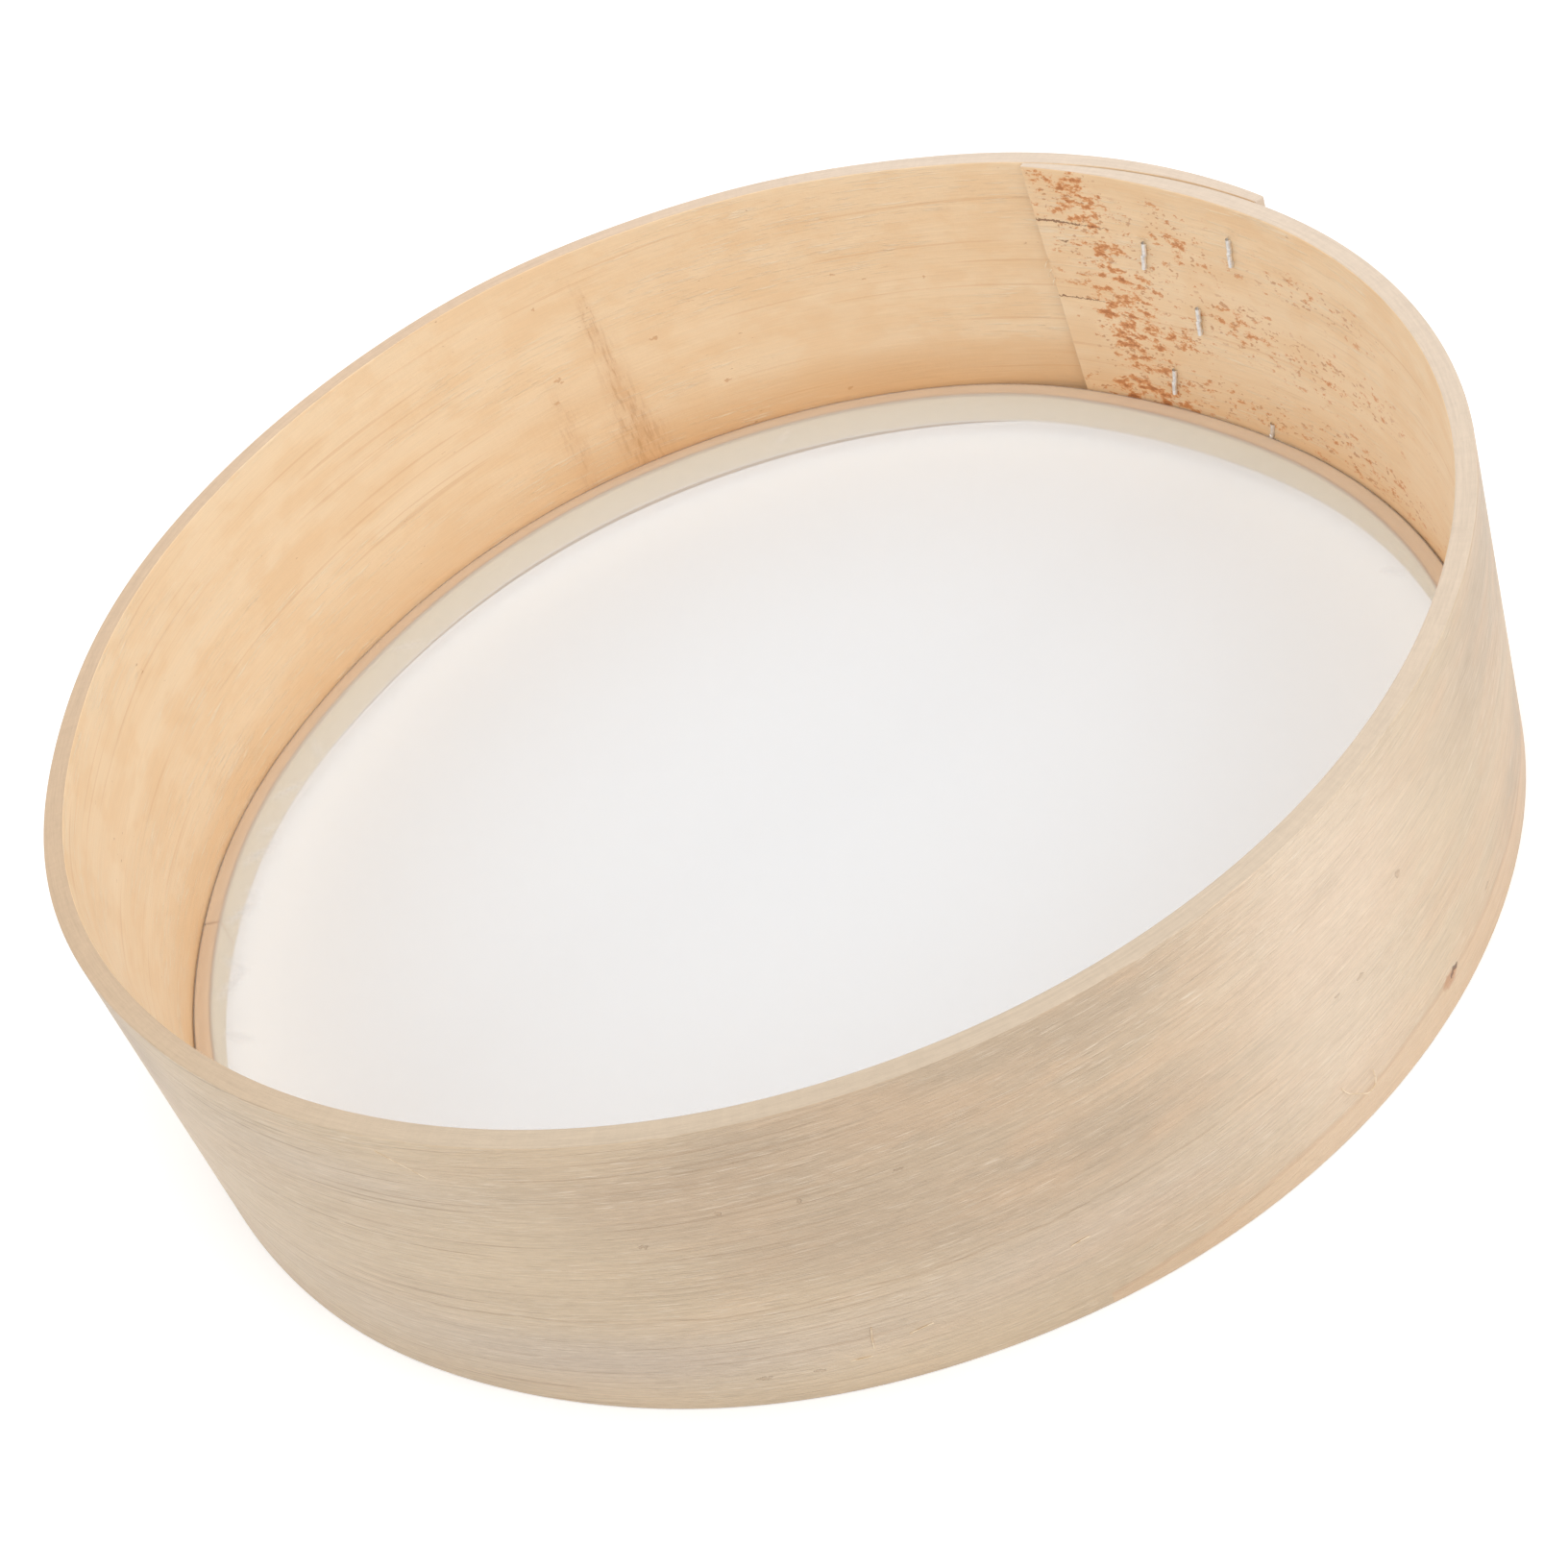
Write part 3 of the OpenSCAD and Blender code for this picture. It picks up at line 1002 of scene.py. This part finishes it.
def outer_wood():
    """Torn, unsanded poplar: fine raised fibres over slow bands of beige and peach, with a painted
    highlight and some painted shade.
    """
    wood = Finish("outer_face_wood", 217, 194, 163)
    board = wood.board()
    place = wood.bent_grain(wood.board(1.6), 2.0, 150, 3.1)
    bands = wood.clouds(place, 170, 16, 7.7)
    mottle = wood.clouds(place, 22, 7, 2.2, 3, 0.6)
    rings = wood.clouds(place, 160, 1.2, 5.9)
    fibres = wood.clouds(place, 26, 0.45, 9.4, 3, 0.65)
    hairs = wood.clouds(place, 6, 0.2, 1.3, 1)
    fuzz = wood.clouds(place, 3, 0.24, 13.6)
    grain = wood.clouds(place, 80, 0.6, 11.8)
    rough_end = wood.share(wood.parts(board)[0], along_to(-55), along_to(-95), 0.15, 1)
    torn = wood.share(wood.clouds(place, 50, 12, 4.6), 0.38, 0.60)
    warm = wood.share(wood.scale(bands, 0, 1, -0.25, 0.25), -0.5, 0.5, 0, 0.6)
    warm = wood.sum_up("ADD", warm, wood.noted("warm"))
    # Darker patches of the wood; where the warm note is felt at the lower right end, this is painted
    # shade.
    wood.lay((196, 173, 146), wood.share(warm, 0.1, 1.0))
    blush = wood.share(wood.clouds(place, 34, 13, 17.3, 3, 0.6), 0.44, 0.64)
    wood.lay((218, 184, 150), blush, wood.scale(rough_end, 0, 1, 0.45, 0.12))
    wood.lay((209, 192, 174), wood.noted("cool"), 0.75)
    # Painted highlight: the pale spots lighten a vertical band of the outer face.
    wood.lay((236, 216, 195), wood.noted("pale"), 0.5)
    wood.vary(mottle, 0.985, 1.012)
    faint = wood.scale(rough_end, 0, 1, 0.99, 0.955)
    wood.shade(wood.scale(wood.share(rings, 0.36, 0.46), 0, 1, faint, 1.0))
    wood.vary(fibres, 0.955, 1.045)
    wood.vary(fuzz, 0.975, 1.03)
    wood.lay((172, 142, 112), wood.share(grain, 0.41, 0.35), rough_end, 0.5)
    wood.lay((176, 146, 114), wood.share(fibres, 0.38, 0.30), torn, 0.18)
    wood.lay((240, 224, 203), wood.share(hairs, 0.59, 0.71), wood.scale(torn, 0, 1, 0.4, 1.0), 0.55)
    over = wood.sum_up("ADD", wood.noted("over_heartwood"), wood.scale(mottle, 0.3, 0.7, -0.5, 0.5))
    wood.lay((228, 194, 158), wood.share(over, 0.6, -0.6, 0, 0.45))
    wood.lay((190, 146, 106), wood.near(over, 1.0), 0.25)
    off_seam = wood.sum_up("ADD", wood.noted("over_seam"), wood.scale(mottle, 0.4, 0.6, -0.4, 0.4))
    seam = wood.all_of(wood.near(off_seam, 0.45), wood.share(mottle, 0.42, 0.55, 0.05, 0.35))
    wood.lay((172, 142, 110), seam)
    torn_board = wood.ragged(board, 1.6, 0.9)
    knot = wood.holes(torn_board, placed(knot_holes))
    pits = wood.holes(torn_board, placed(outer_pits))
    wood.lay((190, 128, 82), wood.holes(torn_board, placed(knot_ring)), 0.6)
    wood.lay((96, 64, 44), knot, 0.8)
    wood.lay((166, 130, 96), pits, 0.3)
    relief = wood.sum_up("MULTIPLY_ADD", fibres, wood.share(torn, 0, 1, 0.6, 1.4), hairs)
    relief = wood.sum_up("MULTIPLY_ADD", fuzz, 0.5, relief)
    relief = wood.sum_up("MULTIPLY_ADD", rings, 0.8, relief)
    relief = wood.sum_up("SUBTRACT", relief, wood.sum_up("ADD", seam, wood.sum_up("ADD", knot, pits)))
    return wood.surface(wood.scale(fibres, 0.3, 0.7, 0.5, 0.36), relief, 0.16 * mm)


# %% The inner face
# The cracks run in from the strip's inner end, and their rows start with a distance along the board.
inner_cracks = [
    (inner_end - 5, 62.2, 16, 0.18),
    (inner_end - 2, 62.4, 7, 0.3),
    (inner_end - 2, 40.6, 12, 0.2),
    (inner_end - 4.5, 56.9, 1.5, 0.25),
]
inner_pits = [
    (120.6, 45.5, 1.2, 0.5), (120.2, 44.6, 0.6, 0.5), (121.5, 39.8, 1.0, 0.6),
    (110.3, 46, 1.3, 0.4), (104.8, 27.6, 1.3, 0.4), (91.5, 50, 0.8, 0.4), (88.6, 47.3, 0.5, 0.4),
    (82.6, 45.8, 0.6, 0.4), (120.1, 66.5, 0.5, 0.4), (93.4, 16.2, 0.8, 0.5),
]


def inner_wood():
    """Planed poplar, warm tan, with faint bands, flecks round the lap, a stain, a few cracks and painted
    shade towards its foot.
    """
    wood = Finish("inner_face_wood", 252, 225, 188)
    board = wood.board()
    place = wood.bent_grain(wood.board(-0.6), 1.6, 120, 6.3)
    bands = wood.clouds(place, 200, 9, 12.5)
    mottle = wood.clouds(place, 18, 9, 8.2, 3, 0.6)
    fibres = wood.clouds(place, 18, 0.45, 3.4, 3, 0.65)
    scraped = wood.share(wood.clouds(place, 70, 14, 14.2), 0.42, 0.56)
    wood.lay((248, 216, 175), wood.share(bands, 0.3, 0.7))
    # Painted shade: the inner face is painted darker towards its foot, next to the cloth.
    wood.lay((229, 184, 134), wood.share(wood.parts(board)[2], 34, 14), 0.3)
    # Painted shade: the tan spots darken the far inner wall low down.
    wood.lay((233, 189, 139), wood.noted("tan"), 0.75)
    wood.lay((240, 198, 148), wood.share(mottle, 0.56, 0.40), 0.3)
    wood.vary(fibres, 0.982, 1.012)
    scratches = wood.all_of(wood.share(wood.clouds(place, 8, 0.35, 11.4), 0.58, 0.68), scraped, 0.6)
    wood.lay((252, 233, 205), scratches)
    wood.lay((228, 178, 126), wood.share(wood.clouds(place, 9, 0.4, 19.3), 0.42, 0.34), scraped, 0.12)
    wood.lay((216, 160, 104), wood.share(wood.clouds(place, 90, 1.3, 15.7), 0.38, 0.30), 0.25)
    specks = wood.share(wood.clouds(place, 2.6, 0.9, 5.1), 0.71, 0.77)
    wood.lay((190, 140, 92), specks, wood.share(wood.clouds(place, 30, 18, 1.9), 0.50, 0.62), 0.8)
    stain = wood.noted("stain")
    streaks = wood.share(wood.clouds(board, 2.0, 5, 7.3, 4, 0.7), 0.40, 0.58, 0.45, 1.0)
    wood.lay((214, 160, 106), stain, streaks, 0.5)
    wood.lay((190, 134, 84), stain, wood.share(wood.clouds(board, 0.7, 5, 4.9, 3), 0.50, 0.62), 0.4)
    thick = wood.noted("flecks")
    grit = wood.clouds(board, 3.4, 1.9, 2.7, 5, 0.72)
    over = wood.sum_up("SUBTRACT", grit, wood.scale(thick, 0, 1, 0.62, 0.50))
    wood.lay((236, 176, 120), wood.share(over, -0.05, 0.02), wood.share(thick, 0.1, 0.8), 0.7)
    wood.lay((222, 150, 90), wood.share(over, 0.0, 0.03), wood.share(thick, 0.02, 0.12), 0.7)
    wood.lay((202, 126, 70), wood.share(over, 0.03, 0.08), wood.share(thick, 0.1, 0.4), 0.6)
    wood.lay((156, 88, 48), wood.share(over, 0.08, 0.13), wood.share(thick, 0.5, 1.0), 0.45)
    dust = wood.share(wood.clouds(board, 2.0, 1.1, 16.1), 0.63, 0.67)
    wood.lay((194, 126, 74), dust, wood.share(thick, 0.1, 0.3), 0.6)
    torn_board = wood.ragged(board, 1.5, 0.8)
    cracks = wood.holes(torn_board, inner_cracks)
    wood.lay((134, 86, 54), cracks, 0.8)
    wood.lay((202, 142, 86), wood.holes(torn_board, placed(inner_pits)), 0.5)
    relief = wood.sum_up("MULTIPLY_ADD", mottle, 0.5, fibres)
    relief = wood.sum_up("SUBTRACT", wood.sum_up("ADD", relief, scratches), cracks)
    return wood.surface(0.5, relief, 0.1 * mm)


# %% The sawn edge
def sawn_wood():
    """The rim and the strip's ends: pale sawn wood with fine saw marks, painted lighter towards the back
    right as painted light, and darker and more orange at the front left.
    """
    wood = Finish("sawn_edge_wood", 199, 180, 156)
    place = wood.board()
    marks = wood.clouds(place, 1.1, 6, 2.7, depth=6)
    grains = wood.clouds(place, 3.5, 0.8, 8.8, 3, 0.7, depth=0.5)
    fibres = wood.clouds(place, 30, 2, 3.6, 2, 0.6, depth=0.6)
    # Painted light: the rim is painted lighter towards the back right, where the light falls.
    wood.lay((223, 204, 184), wood.scale(wood.lies_toward(70), -drum_r, drum_r))
    # Darker and more orange towards the left.
    darker_at_left = wood.share(wood.lies_toward(170), -0.1 * drum_r, 0.8 * drum_r)
    wood.colour = wood.mix(darker_at_left, wood.colour, (1.0, 0.90, 0.80, 1.0), "MULTIPLY")
    wood.vary(marks, 0.988, 1.01)
    wood.vary(grains, 0.975, 1.02)
    wood.vary(fibres, 0.975, 1.02)
    return wood.surface(0.65, wood.sum_up("ADD", grains, fibres), 0.1 * mm)


# %% The loose fibres
def fibre_wood():
    """Thin pale fibres, a little darker in places."""
    wood = Finish("loose_fibre_wood", 226, 200, 164)
    patches = wood.node("TexNoise", {"Vector": wood.node("TexCoord", {}, 3), "Scale": 700.0})
    wood.lay((250, 232, 204), wood.share(patches, 0.4, 0.6))
    return wood.surface(0.6, patches, 0.02 * mm)


# %% The low hoop's wood
def low_hoop_wood():
    """The same poplar on the low hoop, its inner face and foot painted pale as painted light, and a dark
    line of painted shade along its inner top edge.
    """
    wood = Finish("low_hoop_wood", 248, 219, 183)
    place = wood.bent_grain(wood.board(0.8), 1.2, 90, 2.3)
    bands = wood.clouds(place, 120, 3, 3.5, depth=3)
    fibres = wood.clouds(place, 11, 0.35, 6.4, 3, 0.6, depth=0.6)
    wood.lay((243, 209, 169), wood.share(bands, 0.3, 0.7))
    wood.vary(fibres, 0.975, 1.02)
    deep, high = wood.parts(wood.board())[1:]
    # Painted light: the inner face and the foot are painted pale, as if lit through the cloth and from
    # the floor.
    wood.lay((255, 238, 204), wood.share(deep, 3.7, 3.95))
    wood.lay((254, 246, 234), wood.share(high, 4.9, 4.4))
    # Painted shade: a dark line along the inner top corner, under the cloth.
    corner = wood.sum_up("MINIMUM", wood.share(deep, 3.2, 3.8), wood.share(high, 11.7, 12.4))
    wood.lay((160, 122, 92), corner, 0.5)
    return wood.surface(0.6, fibres, 0.06 * mm)


# %% Give the finishes out
def cover(piece, *materials):
    """Gives the piece its materials, in the order in which its faces number them."""
    while len(piece.data.materials) < len(materials):
        piece.data.materials.append(None)
    for number, material in enumerate(materials):
        piece.data.materials[number] = material
    print(f"{piece.name}:", ", ".join(material.name for material in materials))


cover(low_hoop, low_hoop_wood())
cover(strip, sawn_wood(), outer_wood(), inner_wood(), fibre_wood())

# %% [markdown]
# ## Cloth and wire
# The cloth is fine nylon, too fine for its threads to show. White thread sends most of the light
# back, lets some through and leaves the rest of the view open, so its finish mixes a white surface,
# which also glows with light from below, with plain transparency. Where the cloth lies on the low
# hoop, the wood under it shows more clearly and warms its colour. The wire is steel with a bright
# coat of zinc.

# %% The cloth
def fine_nylon():
    """White bolting cloth, half open between its threads."""
    nylon = Finish("fine_nylon")
    white = paint(224, 227, 231)
    front = nylon.node("BsdfDiffuse", {"Color": white})
    through = nylon.node("BsdfTranslucent", {"Color": white})
    thread = nylon.node("MixShader", {0: 0.6, 1: front, 2: through})
    clear = nylon.node("BsdfTransparent", {})
    covered = nylon.scale(nylon.noted("on_wood"), 0, 1, 0.52, 0.42)
    covered = nylon.sum_up("MULTIPLY_ADD", nylon.noted("creased"), 0.8, covered)
    nylon.node("OutputMaterial", {"Surface": nylon.node("MixShader", {0: covered, 1: clear, 2: thread})})
    return nylon.material


# %% The wire
def galvanised_wire():
    """Bright zinc over steel."""
    wire = Finish("galvanised_wire", 226, 226, 225)
    dull = wire.node("TexNoise", {"Vector": wire.node("TexCoord", {}, 3), "Scale": 900.0, "Detail": 3.0})
    wire.lay((248, 248, 247), wire.share(dull, 0.4, 0.6))
    return wire.surface(wire.scale(dull, 0.3, 0.7, 0.3, 0.45), dull, 0.02 * mm, Metallic=0.65)


cover(cloth, fine_nylon())
cover(wires, galvanised_wire())

# %% [markdown]
# ## Floor and light
# The drum stands on a plain white floor under soft light. The floor is lit like the drum, and what
# the camera sees of it is lifted the last step to pure white, so that its shadow stays. Under the
# cloth the lift grows towards the low hoop, whose shade would else show through the cloth. From
# below, the floor is clear, so that the drum's underside can be looked at as well.

# %% Floor
floor_size = 6
floor_gap = 0.05 * mm
bpy.ops.mesh.primitive_plane_add(size=floor_size, location=(0, 0, -floor_gap))
floor = bpy.context.object
floor.name = "floor"
ground = Finish("white_floor")
seen = 0.0
for kind in ("Camera", "Glossy", "Transmission"):
    seen = ground.sum_up("MAXIMUM", seen, ground.node("LightPath", {}, f"Is {kind} Ray"))
from_axis = ground.vector("LENGTH", ground.node("TexCoord", {}, 3), output=1)
nearer = ground.sum_up("POWER", ground.sum_up("DIVIDE", from_axis, 0.89 * bore_r), 10.0)
nearer = ground.all_of(nearer, ground.share(from_axis, drum_r, bore_r))
round_about = ground.share(from_axis, bore_r, drum_r, 0.19, 0.27)
strength = ground.sum_up("MULTIPLY_ADD", nearer, 0.12, round_about)
lift = ground.node("Emission", {"Color": (1, 1, 1, 1), "Strength": ground.all_of(seen, strength)})
matt = ground.node("BsdfDiffuse", {"Color": (0.9, 0.9, 0.9, 1)})
upper_side = ground.node("AddShader", {0: matt, 1: lift})
from_below = ground.node("NewGeometry", {}, "Backfacing")
clear = ground.node("BsdfTransparent", {})
both_sides = ground.node("MixShader", {0: from_below, 1: upper_side, 2: clear})
ground.node("OutputMaterial", {"Surface": both_sides})
cover(floor, ground.material)

# %% World
sky_strength = 0.74
bpy.context.scene.view_settings.view_transform = "Standard"
world = bpy.data.worlds.new("studio")
bpy.context.scene.world = world
world.use_nodes = True
sky = world.node_tree.nodes["Background"].inputs
sky["Color"].default_value = (1, 1, 1, 1)
sky["Strength"].default_value = sky_strength
print(f"a white sky of strength {sky_strength}")

# %% Lamps
lamp_distance = 1.2


def soft_lamp(name, degrees, elevation, size, power):
    """A square soft lamp that shines at the drum from a direction and a height in degrees."""
    lamp = put_in_scene(name, bpy.data.lights.new(name, "AREA"))
    lamp.data.size = size
    lamp.data.energy = power
    level = toward(degrees) * cos(radians(elevation))
    out = Vector((level.x, level.y, sin(radians(elevation))))
    lamp.location = lamp_distance * out
    lamp.rotation_euler = out.to_track_quat("Z", "Y").to_euler()
    print(f"{name}: {power} watts from {degrees} degrees, {elevation} degrees up")


soft_lamp("right_lamp", 0, 35, 0.9, 1.1)
soft_lamp("front_lamp", -37, 36, 0.7, 2.7)
soft_lamp("back_lamp", 170, 40, 0.9, 2.4)
soft_lamp("top_lamp", 0, 85, 0.9, 3.1)
